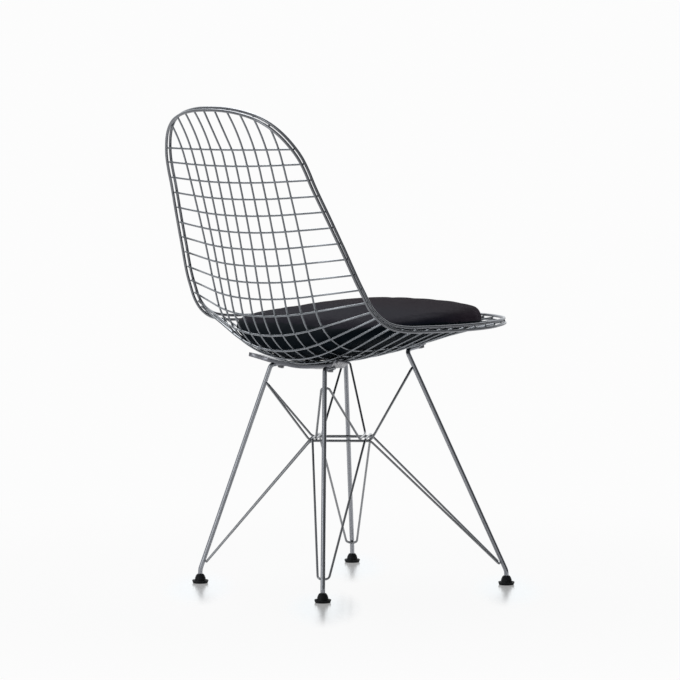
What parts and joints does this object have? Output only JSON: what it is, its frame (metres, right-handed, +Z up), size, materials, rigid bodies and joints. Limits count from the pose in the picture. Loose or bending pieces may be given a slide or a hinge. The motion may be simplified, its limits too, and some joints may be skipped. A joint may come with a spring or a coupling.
{
  "type": "wire mesh side chair",
  "caption": "Side chair with a bucket shell of crossed bent wires on a double rim wire, four splayed rod legs with crossed wire braces, round foot glides and a fitted seat pad.",
  "frame": {"origin": "centre of the part's footprint on the floor, under the glides", "axes": "+Z up, -Y the way the chair faces, +X to the right seen from the front"},
  "size_m": [0.4896, 0.5546, 0.8331],
  "materials": {
    "wire_chrome": "bright plated",
    "rim_chrome": "bright plated",
    "strap_chrome": "bright plated",
    "leg_chrome": "bright plated",
    "brace_chrome": "bright plated",
    "fastener_steel": "zinc plated",
    "glide_plastic": "matt black",
    "pad_fabric": "smooth dark brown weave"
  },
  "bodies": {
    "root": {"cross_wire_01": "wire_chrome", "cross_wire_02": "wire_chrome", "cross_wire_03": "wire_chrome", "cross_wire_04": "wire_chrome", "cross_wire_05": "wire_chrome", "cross_wire_06": "wire_chrome", "cross_wire_07": "wire_chrome", "cross_wire_08": "wire_chrome", "cross_wire_09": "wire_chrome", "cross_wire_10": "wire_chrome", "cross_wire_11": "wire_chrome", "cross_wire_12": "wire_chrome", "cross_wire_13": "wire_chrome", "cross_wire_14": "wire_chrome", "cross_wire_15": "wire_chrome", "cross_wire_16": "wire_chrome", "cross_wire_17": "wire_chrome", "cross_wire_18": "wire_chrome", "cross_wire_19": "wire_chrome", "cross_wire_20": "wire_chrome", "cross_wire_21": "wire_chrome", "cross_wire_22": "wire_chrome", "cross_wire_23": "wire_chrome", "cross_wire_24": "wire_chrome", "cross_wire_25": "wire_chrome", "cross_wire_26": "wire_chrome", "long_wire_01": "wire_chrome", "long_wire_02": "wire_chrome", "long_wire_03": "wire_chrome", "long_wire_04": "wire_chrome", "long_wire_05": "wire_chrome", "long_wire_06": "wire_chrome", "long_wire_07": "wire_chrome", "long_wire_08": "wire_chrome", "long_wire_09": "wire_chrome", "long_wire_10": "wire_chrome", "rim_wire_inner": "rim_chrome", "rim_wire_outer": "rim_chrome", "strap_rear": "strap_chrome", "strap_front": "strap_chrome", "leg_rear_right": "leg_chrome", "leg_rear_left": "leg_chrome", "leg_front_right": "leg_chrome", "leg_front_left": "leg_chrome", "brace_upper_left": "brace_chrome", "brace_upper_right": "brace_chrome", "brace_lower_left": "brace_chrome", "brace_lower_right": "brace_chrome", "glides": "glide_plastic", "strap_studs": "fastener_steel", "washers": "fastener_steel", "nuts": "fastener_steel", "seat_pad": "pad_fabric"}
  },
  "joints": []
}
